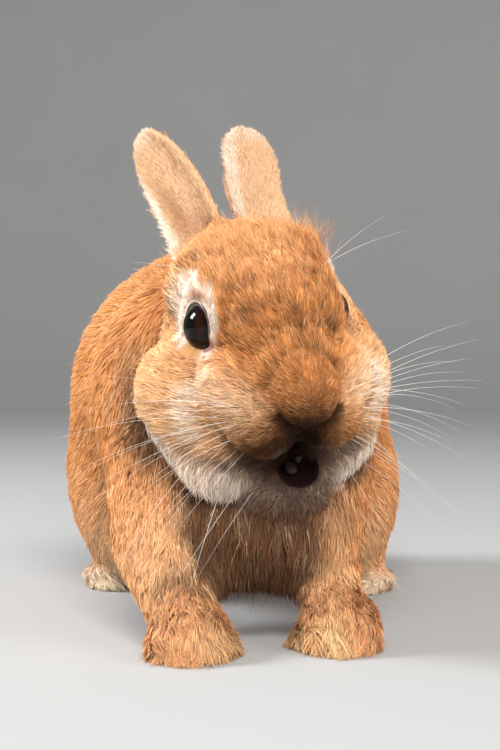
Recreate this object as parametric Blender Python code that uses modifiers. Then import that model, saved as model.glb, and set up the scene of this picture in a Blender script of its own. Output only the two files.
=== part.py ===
"""A life-size still model of a small, short-coated pet rabbit.

The rabbit crouches on all fours with its head low, turned a little to its left and leaning
to its right, ears up and mouth ajar. The body is shaped whole, as rounded masses melted
together out to the tips of the coat, and is then parted by thin cuts into its named parts.
Metres, +Z up. The rabbit faces -Y, its own left is +X, and the floor is Z = 0.
"""
import math

import bmesh
import bpy
from mathutils import Matrix, Vector

MM = 0.001

# Driving dimensions. Lengths are in metres, and the tables of masses in millimetres.
GAP = 0.3 * MM                 # clear gap left by each cut
CUT_DETAIL = 2                 # subdivisions of the ellipsoids that cut
ROUGH_CLAY = (2.2 * MM, 48)    # grain of the trunk and limbs, and passes that melt them
FINE_CLAY = (1.4 * MM, 12)     # the same for the whole, with its head and toes
MELT_FACTOR = 0.5              # how far each smoothing pass goes
FINE_TRIANGLES = 4700          # what the whole body is first thinned out to
BODY_TRIANGLES = 2900          # and then again, away from the head and feet
HEAD_REACH = 58.0 * MM         # how far the head's fine faces reach
FOOT_HEIGHT = 20.0 * MM        # and how far up the feet's do

HEAD_CENTRE = Vector((5.2, -56.0, 100.7)) * MM      # midway between the eyes
HEAD_YAW = math.radians(18.5)                       # nose towards the rabbit's left
HEAD_PITCH = math.radians(25.5)                     # nose down
HEAD_ROLL = math.radians(7.5)                       # crown towards the rabbit's right
BODY_AXIS = Vector((-5.0, 0.0, 0.0)) * MM           # the trunk's middle plane

EYE_RADIUS = 8.3 * MM
SOCKET_CLEARANCE = 0.8 * MM
EYE_CENTRE = (18.0, 0.0, 0.0)  # of the left eye, in the head frame and millimetres
EYE_SEGMENTS = (16, 10)

EAR_THICKNESS = 2.9 * MM
EAR_GRID = (8, 12)             # squares across the sheet and up it
EAR_STALK = 0.92               # width of the root against the widest
EAR_STALK_END = 0.4            # share of the length where the ear reaches full width
EAR_ROLL = (120, 36)           # half angle of the roll at the root and up the ear
EAR_ROLL_END = 0.45            # share of the length where the roll has opened
EAR_ROLL_EASE = 0.7
EAR_LAST = 0.985               # the last row of faces stops short of the very point
EAR_BOW = 2.0 * MM             # how far the back of the ear arches

CLAW_LENGTH = 8.0 * MM
CLAW_RADIUS = 1.3 * MM
CLAW_SEGMENTS = (6, 5)
CLAW_ROOT_WIDTH = 1.25         # width at the root against CLAW_RADIUS
CLAW_DEPTH = 1.3               # a claw is deeper than it is wide
CLAW_DROOP = 0.35              # fall of the point against the length

# A mass is its centre, its three radii and its tilt about x in degrees. In the head frame
# x runs to the rabbit's left, y forward to the nose and z up. PAIRED masses are given for
# the left side and made on both.
HEAD_MASSES = [
    ((0, -13, 1), (28, 26, 25), 0),           # cranium
    ((0, 7, 4), (21.5, 22, 18), -18),         # brow and bridge of the nose
    ((0, 21, -4.5), (14.5, 19, 14.5), -22),   # muzzle
    ((0, 32, -9), (10, 10, 11), -20),         # furry dome of the nose
    ((0, 20, -40), (12, 15, 9.3), 6),         # lower jaw and chin
    ((0, -6, -24), (24, 24, 18), 0),          # throat
]
PAIRED_HEAD_MASSES = [
    ((10, 25, -20), (11.5, 12, 11), -15),     # whisker pad
    ((14, 11, -13), (14, 20, 15), -10),       # face between eye and lip
    ((20, -1, -23), (21.5, 22, 20.5), 0),     # cheek
    ((16, 8, -36), (19.5, 19, 14.5), 0),      # jowl, with the fur of the jaw
    ((13.5, -2, 3), (9.8, 13, 12), 0),        # rim of the orbit
    ((10, -23, 12), (9.5, 10, 9), 0),         # root of the ear
]
MOUTH_MARGIN = 2 * GAP                        # clear space round the tongue and incisors
MOUTH = ((0, 31, -35), (6.5, 9.5, 5.4), 10)
TONGUE = ((-1.5, 24, -38.5), (4.4, 8, 3.2), 8)
INCISORS = ((0, 29.5, -31.5), (2.5, 1.3, 3.8), 10)

TRUNK_MASSES = [
    ((-3, 69, 68), (62.5, 58, 61), 0),        # rump
    ((-3, 48, 74), (60, 52, 57.5), 0),        # loin
    ((0, 18, 74), (53, 50, 52), 0),           # ribs
    ((6, -22, 58), (40, 36, 40), 0),          # chest
    ((8, -20, 92), (35, 36, 34), 0),          # neck
    ((8, -37, 42), (34, 25, 27), 0),          # fur of the breast
]
THIGHS = {
    "right": ((-39, 66, 45), (27, 48, 42), 8),
    "left": ((37, 64, 39), (26, 46, 38), 8),
}
TAIL = ((0, 126, 36), (12, 13, 17), -20)

# Legs: (x, y, z, radius) from the top of the limb down to the foot, in millimetres.
LIMB_STEP = 0.35               # distance between a limb's balls against their radius
FORELEGS = {
    "right": [(-32, -20, 56, 17), (-30, -34, 31, 15.5), (-22.5, -53, 17, 13.5)],
    "left": [(27, -14, 54, 15.5), (26, -22, 32, 13), (24.5, -42, 17, 11)],
}
FOREPAWS = {"right": (-18.5, -66.0), "left": (27.5, -54.0)}
WRIST = (7.5, 11)                             # height and radius where a leg ends in its paw
FOREPAW_MASS = ((0, 1, 6.5), (12.5, 14.5, 13), 0)
DEWCLAW_MASS = ((-10.5, 1, 3), (5, 8, 5), 0)  # pad of the first toe, on the left paw
HINDFEET = {
    "right": [(-45, 108, 9, 9.5), (-48, 88, 7.5, 9), (-52, 66, 6, 9)],
    "left": [(35, 102, 9, 9.5), (38, 82, 8, 9), (43, 58, 7, 9.5)],
}
TOES = 4
TOE_FALL = 1.6                 # how far back toes lie, by the square of the place across
TOE_RADII = (1.0, 1.5, 1.15)   # a toe's radii against its stated one
CLAW_ROOT = (-2.5, 1.0)        # root of a claw, forward and up from its toe's centre
FORE_TOE = {"radius": 4.6, "reach": 9.0, "spread": 5.6, "height": 5.2}
HIND_TOE = {"radius": 4.4, "reach": 12.0, "spread": 4.8, "height": 5.0}

# Ears: root of the left one in the head frame; then each tip, the way that its hollow faces
# in the world frame, its half width, the share of the length where the tip starts to round
# off and the power of that rounding.
EAR_ROOT = (8.5, -27, 12)
EARS = {
    "right": ((-38, 0, 164.5), (-0.70, -0.70, 0.20), 10.3, 0.45, 2.1),
    "left": ((-1, 8, 168), (0.35, -0.90, 0.20), 9.6, 0.62, 2.3),
}

# Regions that part the body, each an ellipsoid like the masses.
HEAD_REGION = ((0, 3, 2), (54, 45, 47), 0)
JAW_REGION = ((0, 18, -42), (18, 27, 14), 10)
NECK_REGION = ((6, -26, 96), (62, 38, 48), 0)
TAIL_REGION = ((0, 132, 36), (18, 16, 22), -20)
FORELEG_REGION = ((0, -34, 36), (22, 23, 42), -36)
FORELEG_REGION_PLACES = {"right": (-34.1, 0.0), "left": (34.1, 12.0)}
FOREPAW_REGION = ((0, -2, 6), (19, 18, 17), 0)
HINDFOOT_REGION = ((0, -4, 0), (22, 56, 15), 0)
THIGH_REGION = ((18, 0, 0), (38, 45, 41), 8)

COLOURS = {
    "coat": (0.50, 0.22, 0.075),
    "eye": (0.012, 0.007, 0.005),
    "claw": (0.55, 0.42, 0.30),
    "tongue": (0.48, 0.20, 0.18),
    "tooth": (0.78, 0.72, 0.58),
}
ROUGHNESS = {"coat": 0.9, "eye": 0.08, "claw": 0.45, "tongue": 0.4, "tooth": 0.3}

HEAD_FRAME = (
    Matrix.Translation(HEAD_CENTRE)
    @ Matrix.Rotation(HEAD_YAW, 4, "Z")
    @ Matrix.Rotation(-HEAD_ROLL, 4, "Y")
    @ Matrix.Rotation(HEAD_PITCH, 4, "X")
    @ Matrix.Diagonal((1, -1, 1, 1))
)
TRUNK_FRAME = Matrix.Translation(BODY_AXIS)
WORLD = Matrix()


def clear_scene():
    for item in list(bpy.data.objects):
        bpy.data.objects.remove(item, do_unlink=True)


def make_collection(name):
    collection = bpy.data.collections.new(name)
    bpy.context.scene.collection.children.link(collection)
    return collection


def make_material(name, slot):
    material = bpy.data.materials.new(name)
    material.use_nodes = True
    shader = material.node_tree.nodes["Principled BSDF"]
    shader.inputs["Base Color"].default_value = (*COLOURS[slot], 1.0)
    shader.inputs["Roughness"].default_value = ROUGHNESS[slot]
    shader.inputs["Metallic"].default_value = 0.0
    return material


def make_object(name, bm, collection):
    bmesh.ops.recalc_face_normals(bm, faces=bm.faces)
    mesh = bpy.data.meshes.new(name)
    bm.to_mesh(mesh)
    bm.free()
    item = bpy.data.objects.new(name, mesh)
    collection.objects.link(item)
    return item


def mass_matrix(mass, frame, grow=0.0):
    centre, radii, tilt = mass
    sizes = [radius * MM + grow for radius in radii]
    return (
        frame
        @ Matrix.Translation(Vector(centre) * MM)
        @ Matrix.Rotation(math.radians(tilt), 4, "X")
        @ Matrix.Diagonal((*sizes, 1))
    )


def add_mass(bm, mass, frame, grow=0.0, detail=4):
    bmesh.ops.create_icosphere(
        bm, subdivisions=detail, radius=1.0, matrix=mass_matrix(mass, frame, grow)
    )


def add_limb(bm, stations):
    """Balls close together along a limb, so that they melt into one tapered length."""
    for start, end in zip(stations, stations[1:]):
        length = math.dist(start[:3], end[:3])
        steps = max(2, math.ceil(length / (LIMB_STEP * min(start[3], end[3]))))
        for step in range(steps + 1):
            share = step / steps
            x, y, z, radius = (a + (b - a) * share for a, b in zip(start, end))
            add_mass(bm, ((x, y, z), (radius, radius, radius), 0), WORLD, detail=3)


def toe_centres(foot, shape):
    """Toe tips side by side, the middle two a little further forward."""
    x, y = foot
    for number in range(TOES):
        across = number - (TOES - 1) / 2
        ahead = shape["reach"] - TOE_FALL * across * across
        yield (x + across * shape["spread"], y - ahead)


def add_toes(bm, foot, shape):
    radii = tuple(shape["radius"] * share for share in TOE_RADII)
    for x, y in toe_centres(foot, shape):
        add_mass(bm, ((x, y, shape["height"]), radii, 0), WORLD, detail=3)


def mirrored(mass):
    (x, y, z), radii, tilt = mass
    return ((-x, y, z), radii, tilt)


def on_side(mass, side):
    """A mass that is given for the left side, put on the named one."""
    return mass if side == "left" else mirrored(mass)


def place(x, y, z=0.0):
    """A frame at a point that is given in millimetres."""
    return Matrix.Translation(Vector((x, y, z)) * MM)


def apply_modifiers(item):
    depsgraph = bpy.context.evaluated_depsgraph_get()
    mesh = bpy.data.meshes.new_from_object(item.evaluated_get(depsgraph))
    item.modifiers.clear()
    item.data = mesh


def largest_body(item):
    """Drop the crumbs that a cut may leave, keeping the largest closed body."""
    bm = bmesh.new()
    bm.from_mesh(item.data)
    unseen = set(bm.verts)
    bodies = []
    while unseen:
        stack = [unseen.pop()]
        body = set(stack)
        while stack:
            for edge in stack.pop().link_edges:
                for vert in edge.verts:
                    if vert in unseen:
                        unseen.discard(vert)
                        body.add(vert)
                        stack.append(vert)
        bodies.append(body)
    bodies.sort(key=len)
    crumbs = [vert for body in bodies[:-1] for vert in body]
    bmesh.ops.delete(bm, geom=crumbs, context="VERTS")
    bmesh.ops.triangulate(bm, faces=bm.faces)
    bm.to_mesh(item.data)
    bm.free()


def boolean(item, cutter, operation):
    modifier = item.modifiers.new(operation.title(), "BOOLEAN")
    modifier.object = cutter
    modifier.operation = operation
    modifier.solver = "EXACT"
    apply_modifiers(item)
    largest_body(item)


def as_cutter(item):
    item.hide_render = True
    item.display_type = "WIRE"
    return item


def mass_cutter(name, mass, frame, cutters, grow=0.0):
    bm = bmesh.new()
    add_mass(bm, mass, frame, grow, CUT_DETAIL)
    return as_cutter(make_object(name, bm, cutters))


def floor_cutter(cutters):
    """A metre cube whose top is the floor, to cut the soles flat."""
    bm = bmesh.new()
    bmesh.ops.create_cube(bm, size=1.0, matrix=Matrix.Translation((0, 0, -0.5)))
    return as_cutter(make_object("cut_floor", bm, cutters))


def melt(item, voxel, passes):
    """Turn overlapping masses into one skin and soften the creases between them."""
    remesh = item.modifiers.new("Melt", "REMESH")
    remesh.mode = "VOXEL"
    remesh.voxel_size = voxel
    smooth = item.modifiers.new("Smooth", "SMOOTH")
    smooth.factor = MELT_FACTOR
    smooth.iterations = passes
    apply_modifiers(item)


def thin_out(item, triangles, group=""):
    """Thin a mesh out to so many triangles, within one vertex group if it is named."""
    now = sum(len(face.vertices) - 2 for face in item.data.polygons)
    thin = item.modifiers.new("Thin", "DECIMATE")
    thin.ratio = triangles / now
    thin.vertex_group = group
    apply_modifiers(item)


def model_body(parts, cutters):
    """The whole rabbit but its ears, melted in two stages and thinned out."""
    bm = bmesh.new()
    for mass in [*TRUNK_MASSES, *THIGHS.values(), TAIL]:
        add_mass(bm, mass, TRUNK_FRAME)
    for side in ("right", "left"):
        add_limb(bm, [*FORELEGS[side], (*FOREPAWS[side], *WRIST)])
        add_limb(bm, HINDFEET[side])
    body = make_object("body", bm, parts)
    melt(body, *ROUGH_CLAY)

    bm = bmesh.new()
    bm.from_mesh(body.data)
    for mass in HEAD_MASSES:
        add_mass(bm, mass, HEAD_FRAME)
    for mass in PAIRED_HEAD_MASSES:
        add_mass(bm, mass, HEAD_FRAME)
        add_mass(bm, mirrored(mass), HEAD_FRAME)
    for side in ("right", "left"):
        at_paw = place(*FOREPAWS[side])
        add_mass(bm, FOREPAW_MASS, at_paw)
        add_mass(bm, on_side(DEWCLAW_MASS, side), at_paw)
        add_toes(bm, FOREPAWS[side], FORE_TOE)
        add_limb(bm, HINDFEET[side][1:])
        add_toes(bm, HINDFEET[side][-1][:2], HIND_TOE)
    bm.to_mesh(body.data)
    bm.free()
    melt(body, *FINE_CLAY)

    thin_out(body, FINE_TRIANGLES)
    plain = body.vertex_groups.new(name="plain")
    for vert in body.data.vertices:
        if (vert.co - HEAD_CENTRE).length > HEAD_REACH and vert.co.z > FOOT_HEIGHT:
            plain.add([vert.index], 1.0, "REPLACE")
    thin_out(body, BODY_TRIANGLES, plain.name)
    body.vertex_groups.clear()
    boolean(body, floor_cutter(cutters), "DIFFERENCE")
    return body


def carve(body, name, mass, frame, parts, cutters):
    """Part one piece from the body, leaving a clear gap round it."""
    inner = mass_cutter(f"cut_{name}", mass, frame, cutters)
    outer = mass_cutter(f"cut_{name}_gap", mass, frame, cutters, GAP)
    piece = bpy.data.objects.new(name, body.data.copy())
    parts.objects.link(piece)
    boolean(piece, inner, "INTERSECT")
    boolean(body, outer, "DIFFERENCE")
    return piece


def ear_section(along, widest, tip_start, tip_power):
    """Half width and half angle of the rolled sheet: a stalk like a tube, then a scoop."""
    widening = math.sin(math.pi / 2 * min(1.0, along / EAR_STALK_END))
    stalk = EAR_STALK + (1 - EAR_STALK) * widening
    tip = max(0.0, (along - tip_start) / (1 - tip_start))
    half_width = widest * MM * stalk * math.sqrt(1 - tip ** tip_power)
    opened = min(1.0, along / EAR_ROLL_END) ** EAR_ROLL_EASE
    root_angle, upper_angle = EAR_ROLL
    half_angle = math.radians(root_angle + (upper_angle - root_angle) * opened)
    return half_width, half_angle


def make_ear(side, parts):
    """A sheet rolled into a scoop that opens towards the tip, then thickened."""
    sign = 1 if side == "left" else -1
    x, y, z = EAR_ROOT
    root = HEAD_FRAME @ (Vector((sign * x, y, z)) * MM)
    tip, facing, *shape = EARS[side]
    tip, facing = Vector(tip) * MM, Vector(facing)
    axis = (tip - root).normalized()
    opening = (facing - facing.project(axis)).normalized()
    across = axis.cross(opening)
    length = (tip - root).length
    bm = bmesh.new()
    bmesh.ops.create_grid(bm, x_segments=EAR_GRID[0], y_segments=EAR_GRID[1], size=1.0)
    for vert in bm.verts:
        along = (vert.co.y + 1) / 2 * EAR_LAST
        half_width, half_angle = ear_section(along, *shape)
        angle = vert.co.x * half_angle
        radius = half_width / math.sin(min(half_angle, math.pi / 2))
        bow = EAR_BOW * math.sin(math.pi * along)
        vert.co = (
            root
            + axis * (length * along)
            + across * (radius * math.sin(angle))
            + opening * (radius * (1 - math.cos(angle)) - bow)
        )
    ear = make_object(f"ear_{side}", bm, parts)
    solid = ear.modifiers.new("Thickness", "SOLIDIFY")
    solid.thickness = EAR_THICKNESS
    solid.offset = 0.0
    apply_modifiers(ear)
    return ear


def make_eye(side, parts):
    centre, _, _ = on_side((EYE_CENTRE, None, 0), side)
    bm = bmesh.new()
    across, up = EYE_SEGMENTS
    bmesh.ops.create_uvsphere(bm, u_segments=across, v_segments=up, radius=EYE_RADIUS)
    eye = make_object(f"eye_{side}", bm, parts)
    eye.location = HEAD_FRAME @ (Vector(centre) * MM)
    return eye


def cut_socket(head, side, cutters):
    reach = (EYE_RADIUS + SOCKET_CLEARANCE) / MM
    socket = on_side((EYE_CENTRE, (reach, reach, reach), 0), side)
    cutter = mass_cutter(f"cut_socket_{side}", socket, HEAD_FRAME, cutters)
    boolean(head, cutter, "DIFFERENCE")


def cut_clear_of(piece, neighbour, cutters):
    """Cut a piece back from its neighbour's surface, leaving the gap."""
    cutter = bpy.data.objects.new(f"cut_{piece.name}_root", neighbour.data.copy())
    cutters.objects.link(cutter)
    as_cutter(cutter)
    swell = cutter.modifiers.new("Swell", "DISPLACE")
    swell.strength = GAP
    swell.mid_level = 0.0
    boolean(piece, cutter, "DIFFERENCE")


def make_claw(name, root, parts):
    """A small curved cone that points forward and down out of a toe."""
    bm = bmesh.new()
    around, along_it = CLAW_SEGMENTS
    bmesh.ops.create_uvsphere(bm, u_segments=around, v_segments=along_it, radius=1.0)
    for vert in bm.verts:
        along = (vert.co.z + 1) / 2
        width = CLAW_RADIUS * (CLAW_ROOT_WIDTH - along)
        reach = CLAW_LENGTH * along
        vert.co = Vector((
            vert.co.x * width,
            -reach,
            vert.co.y * width * CLAW_DEPTH - CLAW_DROOP * reach * along,
        ))
    bmesh.ops.translate(bm, verts=bm.verts, vec=Vector(root) * MM)
    return make_object(name, bm, parts)


def make_claws(side, foot, shape, limb, paw, parts, cutters):
    forward, up = CLAW_ROOT
    claws = []
    for number, (x, y) in enumerate(toe_centres(foot, shape), start=1):
        root = (x, y + forward, shape["height"] + up)
        claw = make_claw(f"claw_{limb}_{side}_{number}", root, parts)
        cut_clear_of(claw, paw, cutters)
        claws.append(claw)
    return claws


def make_mouth_parts(parts, cutters):
    """Tongue and upper incisors, kept just inside the open mouth."""
    centre, radii, tilt = MOUTH
    inside = (centre, tuple(radius - MOUTH_MARGIN / MM for radius in radii), tilt)
    pieces = []
    for name, mass in (("tongue", TONGUE), ("incisors", INCISORS)):
        bm = bmesh.new()
        add_mass(bm, mass, HEAD_FRAME, detail=CUT_DETAIL)
        piece = make_object(name, bm, parts)
        cutter = mass_cutter(f"cut_{name}", inside, HEAD_FRAME, cutters)
        boolean(piece, cutter, "INTERSECT")
        pieces.append(piece)
    return pieces


def stand_on_origin(pieces):
    """Shift all the pieces so that the origin is under the middle of the whole."""
    corners = [
        piece.matrix_basis @ vert.co for piece in pieces for vert in piece.data.vertices
    ]
    middle_x = (min(c.x for c in corners) + max(c.x for c in corners)) / 2
    middle_y = (min(c.y for c in corners) + max(c.y for c in corners)) / 2
    for piece in pieces:
        piece.location -= Vector((middle_x, middle_y, 0.0))


def finish(piece, slot):
    piece.data.materials.clear()
    piece.data.materials.append(make_material(piece.name, slot))
    piece.data.shade_smooth()


def make_forepaw(body, side, parts, cutters):
    """The paw parted from its leg, and its claws."""
    at_paw = place(*FOREPAWS[side])
    paw = carve(body, f"forepaw_{side}", FOREPAW_REGION, at_paw, parts, cutters)
    claws = make_claws(side, FOREPAWS[side], FORE_TOE, "fore", paw, parts, cutters)
    return paw, claws


def make_hindfoot(body, side, parts, cutters):
    """The long hind foot parted from the haunch, and its claws."""
    _, (x, y, _, _), (toe_x, toe_y, _, _) = HINDFEET[side]
    foot = carve(body, f"hindfoot_{side}", HINDFOOT_REGION, place(x, y), parts, cutters)
    claws = make_claws(side, (toe_x, toe_y), HIND_TOE, "hind", foot, parts, cutters)
    return foot, claws


def make_upper_legs(body, side, parts, cutters):
    at_leg = place(*FORELEG_REGION_PLACES[side])
    foreleg = carve(body, f"foreleg_{side}", FORELEG_REGION, at_leg, parts, cutters)
    centre, _, _ = THIGHS[side]
    at_thigh = TRUNK_FRAME @ place(*centre)
    region = on_side(THIGH_REGION, side)
    thigh = carve(body, f"thigh_{side}", region, at_thigh, parts, cutters)
    return foreleg, thigh


def main():
    clear_scene()
    parts = make_collection("rabbit")
    cutters = make_collection("cutters")

    body = model_body(parts, cutters)
    boolean(body, mass_cutter("cut_mouth", MOUTH, HEAD_FRAME, cutters), "DIFFERENCE")
    coat = []
    claws = []
    for side in ("left", "right"):
        cut_socket(body, side, cutters)
        ear = make_ear(side, parts)
        cut_clear_of(ear, body, cutters)
        paw, paw_claws = make_forepaw(body, side, parts, cutters)
        foot, foot_claws = make_hindfoot(body, side, parts, cutters)
        coat += [ear, paw, foot, *make_upper_legs(body, side, parts, cutters)]
        claws += paw_claws + foot_claws
    for name, region, frame in (
        ("jaw", JAW_REGION, HEAD_FRAME),
        ("head", HEAD_REGION, HEAD_FRAME),
        ("neck", NECK_REGION, WORLD),
        ("tail", TAIL_REGION, TRUNK_FRAME),
    ):
        coat.append(carve(body, name, region, frame, parts, cutters))
    body.name = "trunk"
    coat.append(body)

    eyes = [make_eye(side, parts) for side in ("left", "right")]
    tongue, incisors = make_mouth_parts(parts, cutters)
    slots = {"coat": coat, "eye": eyes, "claw": claws, "tongue": [tongue], "tooth": [incisors]}
    for slot, pieces in slots.items():
        for piece in pieces:
            finish(piece, slot)
    stand_on_origin([piece for pieces in slots.values() for piece in pieces])


main()
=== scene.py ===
"""Looks of the rabbit.

One skin stands for all the pieces of flesh. It carries the lids, nostrils and lips, and a coat
of thin tufts that follow the lie of the fur. Eyes, lids, claws, teeth, tongue and whiskers are
pieces of their own. Points are numpy arrays in metres; face features are given in millimetres
in the head frame: x to the rabbit's left, y forward to the nose and z up.
"""
import math

import bmesh
import bpy
import numpy as np
from mathutils import Matrix, Vector
from mathutils.kdtree import KDTree


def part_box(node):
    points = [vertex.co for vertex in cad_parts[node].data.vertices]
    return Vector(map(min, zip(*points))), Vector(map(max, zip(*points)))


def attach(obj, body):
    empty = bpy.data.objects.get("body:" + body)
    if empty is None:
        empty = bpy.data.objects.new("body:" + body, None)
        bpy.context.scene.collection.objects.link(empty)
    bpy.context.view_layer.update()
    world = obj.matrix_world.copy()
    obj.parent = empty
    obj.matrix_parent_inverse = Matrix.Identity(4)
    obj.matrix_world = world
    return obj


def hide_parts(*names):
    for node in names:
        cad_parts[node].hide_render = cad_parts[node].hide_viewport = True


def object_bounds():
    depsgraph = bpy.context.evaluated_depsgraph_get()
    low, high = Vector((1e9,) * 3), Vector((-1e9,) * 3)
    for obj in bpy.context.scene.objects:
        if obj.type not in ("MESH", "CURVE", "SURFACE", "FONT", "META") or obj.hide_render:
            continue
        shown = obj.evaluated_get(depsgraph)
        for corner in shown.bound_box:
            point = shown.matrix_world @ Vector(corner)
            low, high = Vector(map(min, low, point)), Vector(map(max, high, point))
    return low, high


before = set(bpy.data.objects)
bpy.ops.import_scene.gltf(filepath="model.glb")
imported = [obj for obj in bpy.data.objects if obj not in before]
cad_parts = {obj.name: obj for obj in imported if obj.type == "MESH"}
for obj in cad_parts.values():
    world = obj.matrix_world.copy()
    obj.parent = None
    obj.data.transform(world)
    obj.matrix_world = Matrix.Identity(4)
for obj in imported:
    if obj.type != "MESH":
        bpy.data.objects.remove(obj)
cad_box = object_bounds()

MM = 0.001
SEED = 41

# The head frame, from the eyes' places and the turn of the head.
HEAD_YAW = 18.5
HEAD_PITCH = 25.5
HEAD_ROLL = 7.5
CAMERA_FROM_EYES = Vector((-5.2, -444, -8.2)) * MM
CAMERA_TILT = 88.86
LENS = 70
SENSOR = 36
FLOOR_SIDES = 72

# Skin
SAMPLE_AREA = 5e-6  # of the CAD pieces' surface, to tell the regions by
VOXEL = 0.9 * MM
SKIN_FACES = 168000  # before the face is refined
SWELL = 0.35 * MM  # closes the cuts between the pieces before they are melted
LID_BALL = 9.2 * MM  # the lids start as a ball round each eye
FINE_PASSES = 26
BODY_PASSES = 90
CROWN_PASSES = 60
EYE_RADIUS = 8.3
LID_RADIUS = 8.95
LID_SLOPE = 0.23  # rise of the skin away from the lid's edge, mm per degree
LID_SIDES = 10
HAIR_SIDES = 4
HAIR_STEPS = 12
PIT_DEPTH = 2.4
MOUTH = ((0, 31, -35), (6.5, 9.5, 5.4), 10)

# Coat by region: depth over the skin, length and width of a tuft in mm, tufts per square mm.
COAT = {
    "head": (1.3, 5.2, 0.23, 10),
    "jaw": (1.2, 4.8, 0.24, 9),
    "ear": (0.5, 2.6, 0.23, 7),
    "neck": (2.2, 7, 0.38, 4.6),
    "trunk": (2.4, 7.6, 0.4, 3.5),
    "tail": (3, 8.5, 0.4, 4.2),
    "thigh": (2.2, 7.2, 0.4, 3.6),
    "foreleg": (1.6, 5.6, 0.34, 5.6),
    "forepaw": (1.7, 5.8, 0.3, 7.6),
    "hindfoot": (1.1, 4.4, 0.32, 6),
}
DEPTH, LENGTH, WIDTH, DENSITY = range(4)
REGIONS = list(COAT)
FLESH = [
    "head", "jaw", "neck", "trunk", "tail", "ear_left", "ear_right",
    "foreleg_left", "foreleg_right", "forepaw_left", "forepaw_right",
    "thigh_left", "thigh_right", "hindfoot_left", "hindfoot_right",
]
FEET = ("fore_left", "fore_right", "hind_left", "hind_right")
TUFTS_A_PIECE = 65000
BAKE_PATCH = 0.003
CLAW_SHARE = 0.50  # the claws are nearly hidden by the hair of the toes
TONGUE_SHARE = 0.58
TOOTH_SHARE = 0.45
SKIN_SHADE = 0.85  # the skin is darker than the tufts on it
WHISKER_REACH = (0.03, 9 * MM)  # past the CAD box: share of its size, and more

# Colours, linear.
RUFOUS = (0.6, 0.24, 0.07)
DEEP_RUFOUS = (0.38, 0.135, 0.038)
GOLD = (0.62, 0.305, 0.13)
CREAM = (0.84, 0.55, 0.32)
WHITE = (0.9, 0.78, 0.67)
GREY_WHITE = (0.58, 0.5, 0.43)
BROWN = (0.27, 0.105, 0.038)
# Painted shade, under the nose and the muzzle.
DEEP_SHADE = (0.04, 0.014, 0.007)
# The deepest painted shade, in the cleft below the nose and in the slits.
DEEPEST_SHADE = (0.012, 0.005, 0.003)
# Brown of the breast, darkened far below its own colour by painted shade from the head above.
CHEST_SHADE = (0.095, 0.041, 0.021)
TAN = (0.58, 0.335, 0.195)
CHEEK = (0.82, 0.45, 0.215)
STAIN = (0.62, 0.44, 0.22)
PALE_TOES = (0.92, 0.72, 0.53)
# Grey-brown painted shade below the mouth.
CHIN_SHADE = (0.13, 0.095, 0.075)
SKIN_PINK = (0.55, 0.27, 0.22)
# Nearly black: painted shade inside the mouth's hollow.
MOUTH_SHADE = (0.012, 0.004, 0.004)
PUPIL = (0.0035, 0.0022, 0.0018)
LID_RIM = (0.06, 0.03, 0.022)
NOSE_BROWN = (0.42, 0.155, 0.046)
EAR_SHADE = (0.34, 0.15, 0.06)
PAW = (0.6, 0.285, 0.125)


def unit(vectors):
    vectors = np.asarray(vectors, float)
    return vectors / np.maximum(np.linalg.norm(vectors, axis=-1, keepdims=True), 1e-12)


def lengths(vectors):
    return np.linalg.norm(vectors, axis=1)


def limited(values, most=1):
    return np.clip(values, 0, most)


def ramp(low, high, values):
    """0 at the low value and 1 at the high one, with a smooth rise between."""
    share = limited((values - low) / (high - low))
    return share * share * (3 - 2 * share)


def bell(values, centre, width):
    """1 at the centre, less on either side of it."""
    return np.exp(-(((values - centre) / width) ** 2))


def mix(colours, other, share):
    colours = np.asarray(colours)
    return colours + (np.asarray(other) - colours) * np.asarray(share)[:, None]


def layered(colours, layers):
    """The colours with each layer's colour mixed in by its share, in turn."""
    for other, share in layers:
        colours = mix(colours, other, share)
    return colours


def ripple(points, wavelength, seed):
    """Smooth noise of about -1 to 1, from crossing waves of near that wavelength."""
    rng = np.random.default_rng(seed)
    total = np.zeros(len(points))
    for _ in range(7):
        way = unit(rng.normal(size=3))
        pace = 2 * math.pi / (wavelength * rng.uniform(0.7, 1.5))
        total += np.sin(points @ way * pace + rng.uniform(0, 2 * math.pi))
    return total / 3.2


def centre_of(node):
    low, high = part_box(node)
    return (low + high) / 2


HEAD_ORIGIN = (centre_of("eye_left") + centre_of("eye_right")) / 2
HEAD_AXES = np.array(
    Matrix.Rotation(math.radians(HEAD_YAW), 3, "Z")
    @ Matrix.Rotation(math.radians(-HEAD_ROLL), 3, "Y")
    @ Matrix.Rotation(math.radians(HEAD_PITCH), 3, "X")
    @ Matrix.Diagonal((1, -1, 1))
)
EYE_OFFSET = (centre_of("eye_left") - centre_of("eye_right")).length / 2 / MM


def eye_centre(side):
    """Of the left (1) or right (-1) eye, in the head frame."""
    return np.array((side * EYE_OFFSET, 0, 0))


def to_head(points):
    return (points - np.array(HEAD_ORIGIN)) @ HEAD_AXES / MM


def from_head(points):
    return np.asarray(points) * MM @ HEAD_AXES.T + np.array(HEAD_ORIGIN)


def head_vectors(vectors):
    return np.asarray(vectors, float) @ HEAD_AXES.T


def blob(points, centre, radii):
    """1 at the centre, falling smoothly to about 0.02 two radii away."""
    away = (points - centre) / radii
    return np.exp(-(away ** 2).sum(axis=1))


def folded(head):
    """The same points of the head, all brought to its left side."""
    return np.column_stack((np.abs(head[:, 0]), head[:, 1:]))


def distance_to_path(points, path):
    """Shortest distance from each point to a line through the path's points."""
    best = np.full(len(points), 1e9)
    for start, end in zip(path, path[1:]):
        start, end = np.array(start, float), np.array(end, float)
        run = end - start
        share = limited((points - start) @ run / (run @ run))
        best = np.minimum(best, lengths(points - start - share[:, None] * run))
    return best


def stripe(points, path, width):
    return bell(distance_to_path(points, path), 0, width)


# ---- Meshes and arrays ----

def get(items, name, size, kind=float):
    values = np.empty(len(items) * size, kind)
    items.foreach_get(name, values)
    return values.reshape(-1, size)


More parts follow.
